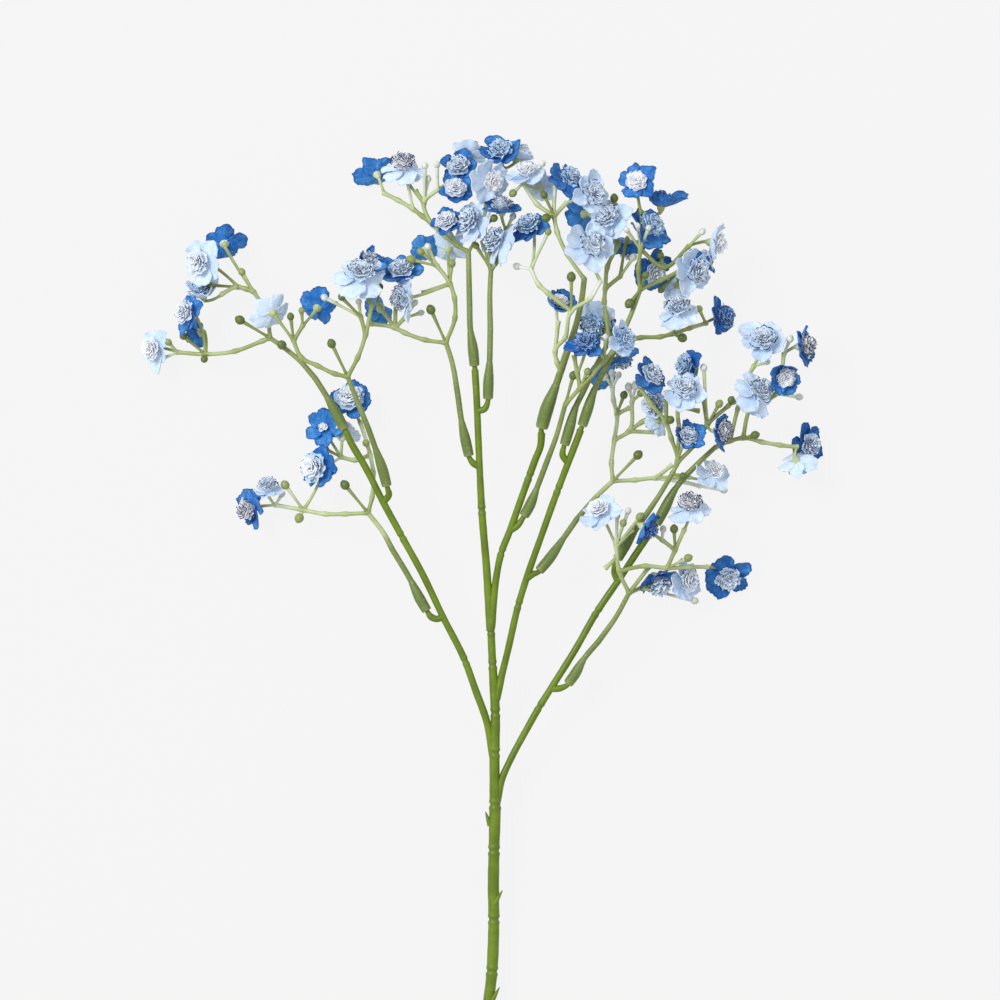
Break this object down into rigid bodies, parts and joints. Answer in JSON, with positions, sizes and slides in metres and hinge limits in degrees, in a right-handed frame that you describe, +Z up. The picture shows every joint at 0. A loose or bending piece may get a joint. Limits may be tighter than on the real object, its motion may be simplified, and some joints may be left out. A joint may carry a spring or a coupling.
{
  "type": "artificial gypsophila stem",
  "caption": "Artificial gypsophila stem lying flat: a forked moulded trunk with plug-in sprays of ball buds and layered blue and pale blue fabric blooms.",
  "frame": {"origin": "middle of the footprint, on the table that the stem lies on", "axes": "+Y along the trunk from its cut end towards the blooms, +Z up from the table, +X to the right as one looks down with the blooms at the top"},
  "size_m": [0.2744, 0.4487, 0.0559],
  "materials": {
    "stem_plastic": "moulded soft plastic with a satin sheen",
    "spray_plastic": "moulded soft plastic, with heat-pressed fabric petals in royal blue and pale blue and white rosettes on it",
    "wire": "plain drawn steel wire"
  },
  "bodies": {
    "root": {"main_stem": "stem_plastic", "core_wire": "wire", "spray_far_left": "spray_plastic", "spray_left": "spray_plastic", "spray_low_left": "spray_plastic", "spray_inner_left": "spray_plastic", "spray_top_left": "spray_plastic", "spray_top": "spray_plastic", "spray_crown": "spray_plastic", "spray_middle": "spray_plastic", "spray_upper": "spray_plastic", "spray_high_right": "spray_plastic", "spray_right": "spray_plastic", "spray_wide_right": "spray_plastic", "spray_mid_right": "spray_plastic", "spray_low_right": "spray_plastic"}
  },
  "joints": []
}
